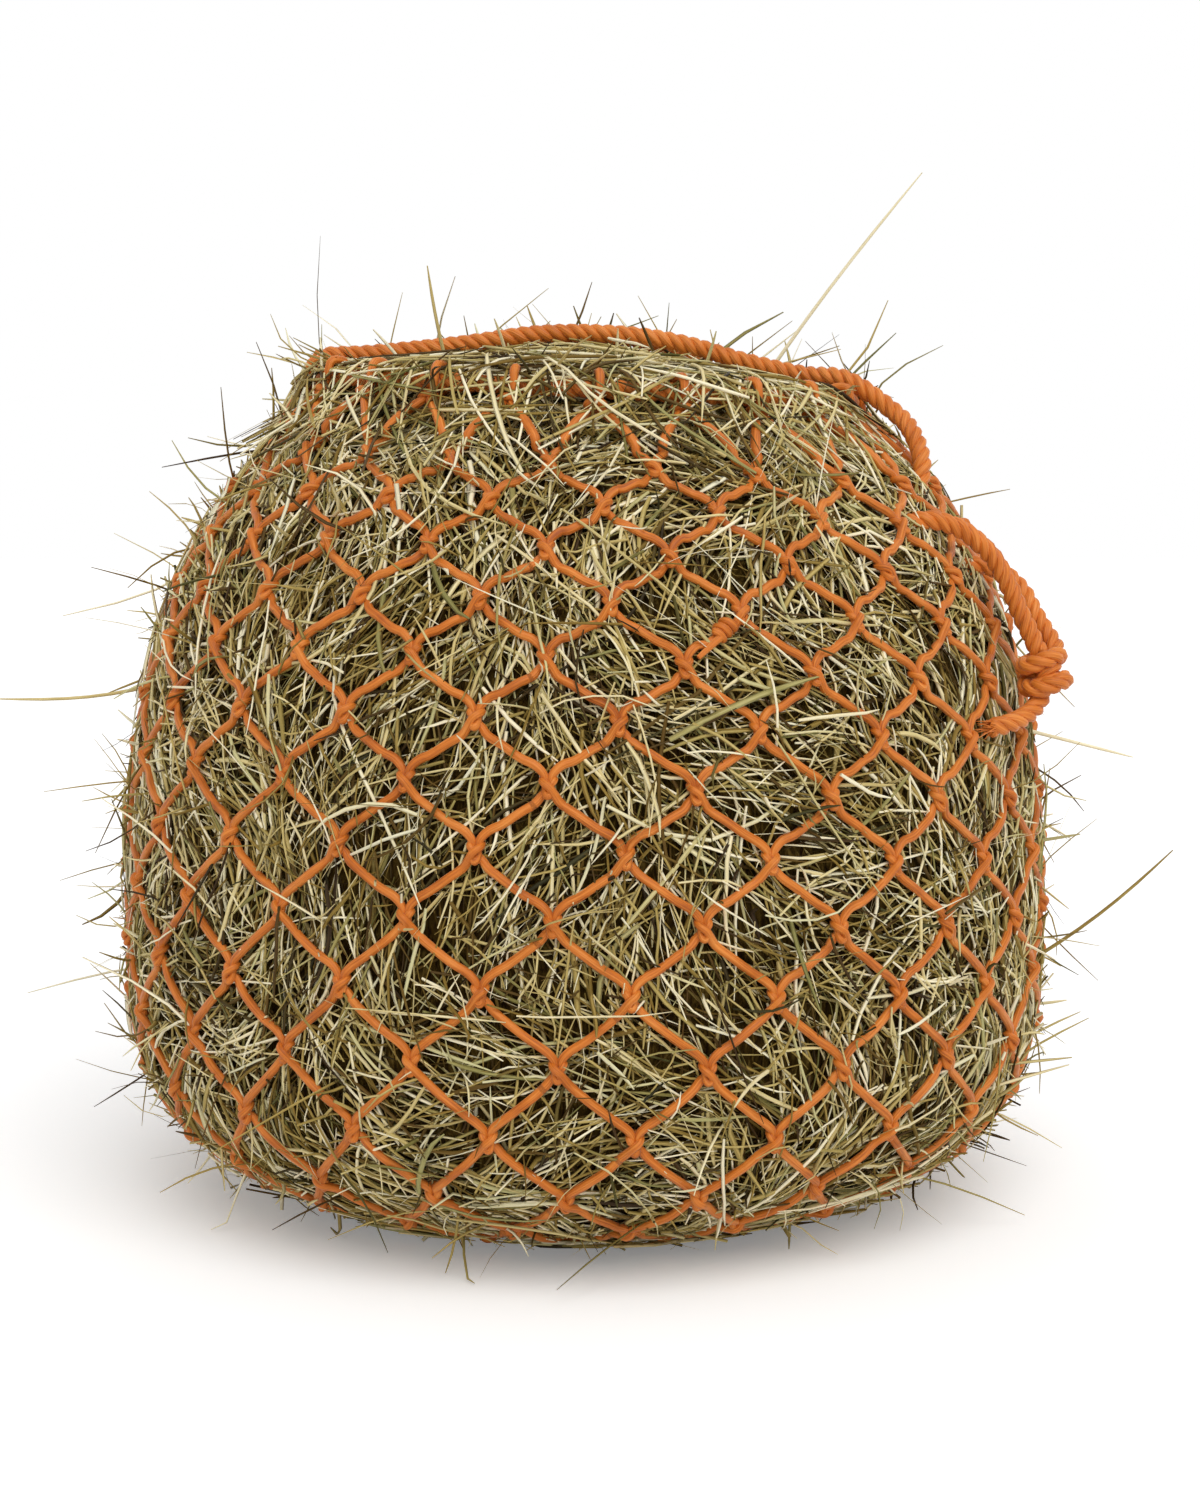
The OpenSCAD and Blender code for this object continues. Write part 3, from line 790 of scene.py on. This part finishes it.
def packed_body():
    """Spun from the bag's outline, then pushed out and in as the net holds it."""
    under = np.linspace(EDGE_S, OUT_S[-1] - 0.5, BASE_POINTS)
    s = np.concatenate([np.linspace(0, EDGE_S, SIDE_POINTS), under[1:]])
    place, _, _, out = bag_frame(s, 0 * s)
    line = place - PACKED_IN * out
    off_axis = [p for p in line if p[1] < -1]
    mesh = spun([(0, 0, line[0][2] + PACKED_TOP), *off_axis, (0, 0, line[-1][2])], PACKED_STEPS)
    for vert in mesh.verts:
        x, y, z = (c / MM for c in vert.co)
        rho = math.hypot(x, y)
        if rho > PACKED_RADIUS and z < MOUTH_Z - PACKED_BELOW:
            k = int(np.argmin(np.hypot(OUT_R - rho, OUT_Z - z)))
            proud = float(swell(OUT_S[k], math.atan2(x, -y))) + UNDER_TWINE
            vert.co += vert.normal * (PACKED_SWELL * proud + rng.normal(0, PACKED_ROUGH)) * MM
        vert.co.z = max(vert.co.z, PACKED_FLOOR * MM)
    place_on(mesh_object(mesh, "packed_hay_painted_shade", PACKED_SHADE), "bag", "hay_core", "hay_core")


def packed_heap():
    """The heap in the mouth, spun from its own outline."""
    outline = [(r, 0, float(heap_height(r)) - HEAP_UNDER) for r in np.linspace(0, HEAP_EDGE, HEAP_POINTS)]
    mesh = spun(outline + [(0, 0, HEAP_DOWN)], HEAP_STEPS)
    for vert in mesh.verts:
        vert.co = (lean([c / MM for c in vert.co]) * MM).tolist()
        vert.co.z += rng.normal(0, HEAP_ROUGH) * MM
    place_on(mesh_object(mesh, "packed_heap", PACKED_SHADE), "bag", "hay_crown", "hay_crown")


packed_body()
packed_heap()

# Sections of a stalk and a flat blade, for a radius of 1, the share of blades, and the most stems in a piece
STALK_SIDES = 5
STALK_TURNS = [2 * math.pi * k / STALK_SIDES for k in range(STALK_SIDES)]
STALK = section("stalk section", [(math.cos(w), math.sin(w)) for w in STALK_TURNS])
BLADE = section("blade section", [(1.5, 0), (0, 0.3), (-1.5, 0), (0, -0.3)])
BLADES = 0.4
MOST_STEMS = 3500
# How lying and standing stems taper: shares of the length, and the thickness there. Lying ones turn about
# their length by up to this angle, in radians.
TAPER_AT, TAPER = (0, 0.06, 0.75, 1), (0.75, 1, 0.9, 0.3)
STANDING_AT, STANDING_TAPER = (0, 0.8, 1), (1.1, 0.8, 0.3)
STEM_TILT = 0.9
# Tones go from dark brown at 0 to pale at 1. Most stems spread about a middle tone, and these shares of them
# are brown or pale.
TONE_SPREAD = 0.22
TONE_LEAST, TONE_MOST = 0.02, 0.92
BROWN_SHARE, PALE_SHARE = 0.09, 0.07
BROWN, PALE = (-0.05, 0.15), (0.8, 1.0)


def hay_pieces(name, runs, sizes, tones):
    """Stems as stalks and blades, in pieces of a fair size."""
    blade = rng.random(len(runs)) < BLADES
    for kind, profile, pick in (("stalks", STALK, ~blade), ("blades", BLADE, blade)):
        index = np.flatnonzero(pick)
        for part, some in enumerate(np.array_split(index, max(1, math.ceil(len(index) / MOST_STEMS)))):
            mine = [runs[k] for k in some]
            shares = np.linspace(0, 1, len(mine[0]))
            taper = np.interp(shares, TAPER_AT, TAPER)
            piece = bevelled(f"{name}_{kind}_{part + 1}", mine, [sizes[k] * taper for k in some], STEMS, 1.0,
                             profile=profile, tilts=rng.uniform(-STEM_TILT, STEM_TILT, len(some)))
            give_tone(piece, mine, tones[some], len(profile.data.splines[0].points))
            place_on(piece, "bag", "loose_hay")


def stem_tones(n, middle):
    """Mostly straw and olive, with a few pale and a few brown stems."""
    tones = np.clip(rng.normal(middle, TONE_SPREAD, n), TONE_LEAST, TONE_MOST)
    odd = rng.random(n)
    brown, pale = odd < BROWN_SHARE, odd > 1 - PALE_SHARE
    tones[brown] = rng.uniform(*BROWN, brown.sum())
    tones[pale] = rng.uniform(*PALE, pale.sum())
    return tones


def lie(s, a):
    """Way that the hay lies at a place: a slow swirl over the bag, in radians from across."""
    swirl = 0.9 * np.sin(3 * a + s / 70) + 0.7 * np.sin(5 * a - s / 41 + 1.3) + 0.6 * np.sin(s / 33 + 2 * a)
    return 1.25 + swirl


def any_angle(n):
    return rng.uniform(-math.pi, math.pi, n)


def round_about(rho, a):
    """x and y at a radius and an angle from the front."""
    return rho * np.sin(a), -rho * np.cos(a)


# The side strands hang at this place round the bag, in meshes. Stems that lie on the bag, and those that
# stand out of it, keep clear of them down to this row and this many meshes to each side.
ROPE_PLACE = 4.2
LYING_CLEAR = (8, 1.7)
STANDING_CLEAR = (6.5, 1.5)
# Stems that lie over the twine are this far out of the knots' middles, in mm.
OVER_TWINE = 4.2
# Lying stems: their turn from the way of the hay, in radians, their curve in radians to a mm, how they waver,
# in shares of their length, and how far their ends rise, in mm
WAY_SPREAD = 0.55
CURVE = 0.005
WAVER = 0.006
SIDE_TIPS, HEAP_TIPS = (-3, 5), (-2, 5)
# Their middles, and all their points, lie from here along the outline to so far past the base's edge, in mm.
MIDDLES, POINTS = (-8, 15), (-4, 40)


def by_side_rope(j, i, rows, meshes):
    return (j < rows) & (np.abs(i - ROPE_PLACE) < meshes)


def lengths(n, log_middle, spread, least, most):
    """Lengths in mm about a middle one, which is given by its natural logarithm."""
    return np.clip(rng.lognormal(log_middle, spread, n), least, most)


def side_stems(n, depth, over_twine=0.0):
    """Stems that lie on the bag's side. depth is how far below the swell they lie, lowest and highest, and
    over_twine is the share of them that lie over the net."""
    s0 = rng.uniform(MIDDLES[0], EDGE_S + MIDDLES[1], n)
    a0 = any_angle(n)
    way = lie(s0, a0) + rng.normal(0, WAY_SPREAD, n)
    length = lengths(n, 3.8, 0.5, 16, 125)
    bend = rng.normal(0, CURVE, n)
    deep = rng.uniform(*depth, n)
    tip = np.maximum(0, rng.normal(*SIDE_TIPS, (n, 2)))
    along = np.linspace(-0.5, 0.5, 6)[None] * length[:, None]
    heading = way[:, None] + bend[:, None] * along
    across = along * np.cos(heading) + rng.normal(0, WAVER, along.shape) * length[:, None]
    down = along * np.sin(heading) + rng.normal(0, WAVER, along.shape) * length[:, None]
    s = np.clip(s0[:, None] + down, POINTS[0], EDGE_S + POINTS[1])
    a = a0[:, None] + across / np.maximum(90, np.interp(s0, OUT_S, OUT_R))[:, None]
    by_rope = by_side_rope(*net_coords(s, a), *LYING_CLEAR).any(axis=1)
    above = (rng.random(n) < over_twine) & ~by_rope
    lift = swell(s, a) - deep[:, None]
    lift[:, 1:-1] = 0.5 * lift[:, 1:-1] + 0.25 * (lift[:, :-2] + lift[:, 2:])
    tip[by_rope] = 0
    lift[:, 0] += tip[:, 0]
    lift[:, -1] += tip[:, 1]
    lift[above] = np.maximum(lift[above], OVER_TWINE)
    place, _, _, out = bag_frame(s, a)
    runs = place + lift[..., None] * out
    runs[..., 2] = np.maximum(runs[..., 2], STEM_FLOOR)
    return list(runs), lengths(n, -0.45, 0.3, 0.3, 1.3)


def curled(place, way, reach, curl, t):
    """Runs from their places, each its own way and reach, that curl where they leave the hay."""
    runs = place[:, None] + (reach[:, None] * t)[..., None] * way[:, None]
    return runs + (reach[:, None] * t ** 2)[..., None] * curl[:, None] * (t > 0)[None, :, None]


# The wisps keep inside the box of the long stems. They reach at least so far, and on the average so much
# further, all in mm.
WISPS_X, WISPS_Y = 298.0, 268.0
WISP_LEAST, WISP_MORE = 9, 15


def wisp_reach(n, most):
    return np.clip(rng.exponential(WISP_MORE, n) + WISP_LEAST, WISP_LEAST, most)


def wisps(n):
    """Ends that stand out of the bag all round."""
    s0 = rng.uniform(0, EDGE_S - 20, n)
    a0 = any_angle(n)
    reach = wisp_reach(n, 46)
    place, across, up, out = bag_frame(s0, a0)
    side, rise = rng.normal(0, 1.9, n), rng.normal(0.2, 1.6, n)
    way = unit(out + side[:, None] * across + rise[:, None] * up)
    runs = curled(place, way, reach, rng.normal(0, 0.28, (n, 3)), np.linspace(-0.6, 1, 6))
    runs[..., 2] = np.maximum(runs[..., 2], STEM_FLOOR)
    far = np.abs(runs).max(axis=1)
    clear = ~by_side_rope(*net_coords(s0, a0), *STANDING_CLEAR)
    clear &= (far[:, 0] < WISPS_X) & (far[:, 1] < WISPS_Y)
    return [r for r, c in zip(runs, clear) if c], rng.uniform(0.35, 0.8, int(clear.sum()))


# The rope's strands, and the part of the front one over the heap. Stems keep these distances from them, in
# mm: sideways and below a strand, and, in front of the front one, to each side and below it.
ROPE_LINE = np.concatenate([even_run(smooth_run(p), 4)[0] for p in (FRONT, BACK, SIDE, REAR)])
OVER_LINE = even_run(smooth_run(FRONT[3:11]), 4)[0]
ROPE_CLEAR, ROPE_UNDER = 8.0, 7.0
FRONT_CLEAR, FRONT_UNDER = 4.0, 3.0


def clear_of_rope(runs, sizes):
    """Leaves out the stems that lie on the rope's strands, or above them, where they lift, and those in front
    of the front strand that stand as high as it does."""
    keep = []
    for k, run in enumerate(runs):
        fine = smooth_run(run, 5)[:, None]
        near = np.linalg.norm(fine[..., :2] - ROPE_LINE[:, :2], axis=2) < ROPE_CLEAR
        on_rope = near & (fine[..., 2] > ROPE_LINE[:, 2] - ROPE_UNDER)
        ahead = (np.abs(fine[..., 0] - OVER_LINE[:, 0]) < FRONT_CLEAR) & (fine[..., 1] < OVER_LINE[:, 1])
        hides = ahead & (fine[..., 2] > OVER_LINE[:, 2] - FRONT_UNDER)
        if not (on_rope.any() or hides.any()):
            keep.append(k)
    return [runs[k] for k in keep], np.asarray(sizes)[keep]


def flat_stems(n, radius, t, length, curve=0.0):
    """x and y of stems that lie any way within a radius, at the shares t of their lengths."""
    x0, y0 = round_about(radius * np.sqrt(rng.random(n)), any_angle(n))
    way = any_angle(n)[:, None]
    along = t[None] * lengths(n, *length)[:, None]
    if curve:
        way = way + rng.normal(0, curve, n)[:, None] * along
    return x0[:, None] + along * np.cos(way), y0[:, None] + along * np.sin(way)


def heap_stems(n, rise, tips):
    """Stems that lie on the heap in the mouth. rise is their height on it, lowest and highest, and tips is
    how much of the ends' own rise they get."""
    t = np.linspace(-0.5, 0.5, 6)
    x, y = flat_stems(n, 142, t, (4.1, 0.4, 24, 120), CURVE)
    far = np.hypot(x, y)
    z = np.maximum(heap_height(far), -3) - np.maximum(0, far - 124) * 0.6 + rng.uniform(*rise, n)[:, None]
    z += tips * np.maximum(0, rng.normal(*HEAP_TIPS, n))[:, None] * (2 * np.abs(t)) ** 2
    return clear_of_rope(list(lean(np.stack([x, y, z], -1))), rng.uniform(0.45, 0.95, n))


# The hay over the rim in mm: distance out from the drawstring, and the radius and height of the hay there
RIM_HAY = np.array([(-60, 78, 14), (-30, 108, 10), (-12, 126, 8.5), (0, 138, 6.2), (8, 145, 1),
                    (18, 152, -10), (30, 160, -21), (46, 173, -35), (62, 184, -48), (80, 197, -68),
                    (95, 207, -87)])


def rim_stems(n):
    """Stems that lie over the drawstring in the rim, from the heap, which leans, down on to the net."""
    d0 = rng.uniform(-55, 30, n)
    a0 = any_angle(n)
    way = any_angle(n)
    along = np.linspace(-0.5, 0.5, 8)[None] * lengths(n, 3.9, 0.35, 24, 95)[:, None]
    d = d0[:, None] + along * np.sin(way)[:, None]
    a = a0[:, None] + along * np.cos(way)[:, None] / MOUTH_RADIUS
    x, y = round_about(np.interp(d, RIM_HAY[:, 0], RIM_HAY[:, 1]), a)
    z = np.interp(d, RIM_HAY[:, 0], RIM_HAY[:, 2]) + rng.exponential(1.6, n)[:, None]
    flat = np.stack([x, y, z], -1)
    low = np.clip((d - 8) / 30, 0, 1)[..., None]
    runs = (1 - low) * lean(flat) + low * (flat + [0, 0, MOUTH_Z])
    return clear_of_rope(list(runs), rng.uniform(0.45, 0.95, n))


def heap_wisps(n):
    """Ends that stand up out of the heap."""
    rho = 150 * np.sqrt(rng.random(n))
    a = any_angle(n)
    x, y = round_about(rho, a)
    place = lean(np.stack([x, y, np.where(rho > 118, 4.0, heap_height(rho))], 1))
    out_x, out_y = round_about(0.6, a)
    way = unit(np.stack([rng.normal(0, 0.8, n) + out_x, rng.normal(0, 0.8, n) + out_y, 0 * a + 0.65], 1))
    reach = wisp_reach(n, 52)
    runs = curled(place, way, reach, rng.normal(0, 0.3, (n, 3)), np.linspace(-0.5, 1, 5))
    return clear_of_rope(list(runs), rng.uniform(0.35, 0.8, n))


def base_stems(n):
    """Stems that lie over the meshes of the base."""
    x, y = flat_stems(n, 165, np.linspace(-0.5, 0.5, 4), (4.0, 0.3, 30, 90))
    z = rng.uniform(5.5, 9, n)[:, None] + np.maximum(0, np.hypot(x, y) - 150) * 0.3
    return list(np.stack([x, y, z], -1)), rng.uniform(0.5, 1.0, n)


def scatter(name, made, middle):
    """Pieces of hay from runs and sizes, with tones about a middle one."""
    runs, sizes = made
    hay_pieces(name, runs, sizes, stem_tones(len(runs), middle))


# Each line gives the number of stems, what is particular to their place, and their middle tone. The middle
# tones follow depth: the deep and low stems are darker as painted shade, and the stems over the net are paler
# as painted light.
scatter("hay_deep", side_stems(6000, (2.5, 7.0)), 0.35)
scatter("hay_face", side_stems(12500, (-0.6, 2.5)), 0.52)
scatter("hay_over", side_stems(420, (-1.5, 0.0), 1.0), 0.62)
scatter("hay_heap_low", heap_stems(1500, (-2.4, -1.4), 0), 0.4)
scatter("hay_heap", heap_stems(2600, (-1.0, 3.0), 1), 0.5)
scatter("hay_rim", rim_stems(1700), 0.53)
scatter("hay_base", base_stems(900), 0.5)
scatter("hay_wisps", wisps(1800), 0.48)
scatter("hay_heap_wisps", heap_wisps(560), 0.46)


# Loose stems that stand out, where the part's source has them: the share of meshes with one, its reach in mm,
# how far it turns aside and up, in degrees, how deep it goes into the hay, in mm, and its bow
STEM_SHARE = 0.42
STEM_REACH = 26.0
STEM_ASIDE = 50.0
STEM_UP = 60.0
STEM_ROOT = 10.0
STEM_BOW = 0.035
# Long stems: row and mesh that they come out of, and their tip in shares of the bag's radius.
# Stems on the heap: place in shares of its radius, way to lean, and reach in mm.
LONG = [(6, 16, -1.255, -0.21, 1.1), (6, 4, 1.18, -0.17, 0.97), (10, 4, 1.255, -0.25, 0.78),
        (11, 1, 0.28, -1.13, 0.44), (9, 10, -0.25, 1.13, 0.9)]
CROWN = [(0.71, 0.25, 0.75, -0.1, 144), (-0.55, -0.27, -0.2, -0.06, 50), (-0.31, -0.49, -0.25, -0.4, 24),
         (0.11, -0.57, 0.12, -0.5, 22), (0.44, -0.47, 0.4, -0.25, 26), (-0.72, -0.16, -0.75, -0.12, 28),
         (-0.43, 0.41, -0.25, 0.5, 26), (0.03, 0.47, 0.4, 0.25, 30), (0.28, -0.33, -0.4, -0.2, 24),
         (-0.06, 0.69, 0.06, 0.6, 24), (0.76, -0.36, 0.75, -0.4, 22), (-0.16, 0.3, -0.45, 0.12, 28)]


def noise(i, j):
    """A number from 0 to 1 for each mesh, as the part's source works it out."""
    v = math.sin(math.radians(127.1 * i + 311.7 * j)) * 437.58
    return v - math.floor(v)


def mesh_middle(j, i):
    return (knot_frame(j, i)[0] + knot_frame(j, i + 1)[0]) / 2


def bent_stem(start, way, reach):
    """A stem that bows a little and keeps its ends."""
    way = unit(np.asarray(way, float))
    t = np.linspace(0, 1, 9)[:, None]
    aside = np.cross(way, rng.normal(0, 1, 3))
    straight = start - STEM_ROOT * way + t * (reach + STEM_ROOT) * way
    return straight + aside * STEM_BOW * reach * np.sin(math.pi * t)


def row_stems(low, high):
    """Stems that stand out of the meshes of some rows, clear of the side strands and of the long stems."""
    taken = {(j, i) for j, i, *_ in LONG}
    runs = []
    for j in range(low, high + 1):
        for i in range(MESHES):
            by_rope = j <= 6 and 3 <= i <= 5
            if noise(i, j) >= STEM_SHARE or by_rope or (j, i) in taken:
                continue
            middle_a = net_place(j, i + 0.5 + row_half(j))[1]
            a = math.radians(np.degrees(middle_a) + STEM_ASIDE * (noise(i + 7, j) - 0.5))
            e = math.radians(STEM_UP * (noise(i, j + 9) - 0.4))
            way = (math.sin(a) * math.cos(e), -math.cos(a) * math.cos(e), math.sin(e))
            reach = STEM_REACH * (0.35 + 0.65 * noise(i + 3, j + 5))
            runs.append(bent_stem(mesh_middle(j, i), way, reach))
    return runs


def heap_standing():
    """Stems that stand on the heap."""
    runs = []
    for x, y, dx, dy, reach in CROWN:
        rho = math.hypot(x, y) * HEAP_RADIUS
        foot = lean([x * HEAP_RADIUS, y * HEAP_RADIUS, float(heap_height(rho))])
        runs.append(bent_stem(foot, (dx, dy, 1), reach))
    return runs


def long_stems():
    """Stems that stand far out of the bag."""
    runs = []
    for j, i, x, y, z in LONG:
        foot = mesh_middle(j, i)
        span = np.array([x, y, z]) * BAG_RADIUS - foot
        runs.append(bent_stem(foot, span, np.linalg.norm(span)))
    return runs


def standing(name, runs, node, middle=0.5):
    """A piece of stems that stand out, with tones about a middle one."""
    thick = [np.interp(np.linspace(0, 1, len(r)), STANDING_AT, STANDING_TAPER) for r in runs]
    piece = bevelled(name, runs, thick, STEMS, 1.0, profile=STALK)
    give_tone(piece, runs, stem_tones(len(runs), middle), STALK_SIDES)
    place_on(piece, "bag", "loose_hay", node)


standing("standing_stems_upper", row_stems(2, 5), "stems_upper")
standing("standing_stems_middle", row_stems(6, 9), "stems_middle")
standing("standing_stems_lower", row_stems(10, 13), "stems_lower")
# The stems on the heap and the long ones get a paler middle tone, painted light, because they stand in shade.
standing("standing_stems_heap", heap_standing(), "stems_crown", 0.7)
standing("standing_stems_long", long_stems(), "stems_long", 0.7)
for profile in (STALK, BLADE):
    bpy.data.objects.remove(profile)


# Camera, light and floor, in metres and degrees
CAMERA_PLACE = (0.008, -1.4888, 0.4133)
CAMERA_DOWN = 7.0
LENS = 68.1
SENSOR = 36.0
KEY_POWER = 1.5
KEY_SIZE = 50.0
KEY_TURN = (38.0, 14.0, 0.0)
# What the camera and mirror-like surfaces see of the white world, and how strongly it lights the rest
WORLD_SEEN, WORLD_LIGHT = 1.0, 0.62
FLOOR_SIZE = 6.0
FLOOR_GLOW = 0.2


def camera():
    lens = bpy.data.cameras.new("camera")
    lens.sensor_fit = "VERTICAL"
    lens.sensor_height = SENSOR
    lens.lens = LENS
    view = new_object("camera", lens)
    view.location = CAMERA_PLACE
    view.rotation_euler = (math.radians(90 - CAMERA_DOWN), 0, 0)
    bpy.context.scene.camera = view


def key_light():
    sun = bpy.data.lights.new("soft key", "SUN")
    sun.energy = KEY_POWER
    sun.angle = math.radians(KEY_SIZE)
    new_object("soft key", sun).rotation_euler = [math.radians(d) for d in KEY_TURN]


def white_world():
    world = bpy.data.worlds.new("white studio")
    bpy.context.scene.world = world
    world.use_nodes = True
    tree = world.node_tree
    tree.nodes.clear()
    path = add(tree, "LightPath")
    seen = path.outputs["Is Camera Ray"]
    for ray in ("Is Glossy Ray", "Is Transmission Ray"):
        more = add(tree, "Math", [(0, seen), (1, path.outputs[ray])], operation="MAXIMUM")
        seen = more.outputs["Value"]
    level = add(tree, "MapRange", [("Value", seen), ("To Min", WORLD_LIGHT), ("To Max", WORLD_SEEN)])
    light = add(tree, "Background", [("Color", (1, 1, 1, 1)), ("Strength", level.outputs["Result"])])
    add(tree, "OutputWorld", [("Surface", light.outputs["Background"])])


def paper_floor():
    """White paper, matt, with a little glow so that the camera sees it as white as the world."""
    mesh = bmesh.new()
    bmesh.ops.create_grid(mesh, x_segments=1, y_segments=1, size=FLOOR_SIZE)
    white, tree = new_material("white paper floor")
    path = add(tree, "LightPath")
    glow = add(tree, "Math", [(0, path.outputs["Is Camera Ray"]), (1, FLOOR_GLOW)], operation="MULTIPLY")
    shader = add(tree, "BsdfPrincipled", [
        ("Base Color", srgb("#FDFDFD")), ("Roughness", 0.9), ("Specular IOR Level", 0.0),
        ("Emission Color", (1, 1, 1, 1)), ("Emission Strength", glow.outputs["Value"])])
    add(tree, "OutputMaterial", [("Surface", shader.outputs["BSDF"])])
    mesh_object(mesh, "floor", white)


camera()
key_light()
white_world()
paper_floor()
bpy.context.scene.view_settings.view_transform = "Standard"
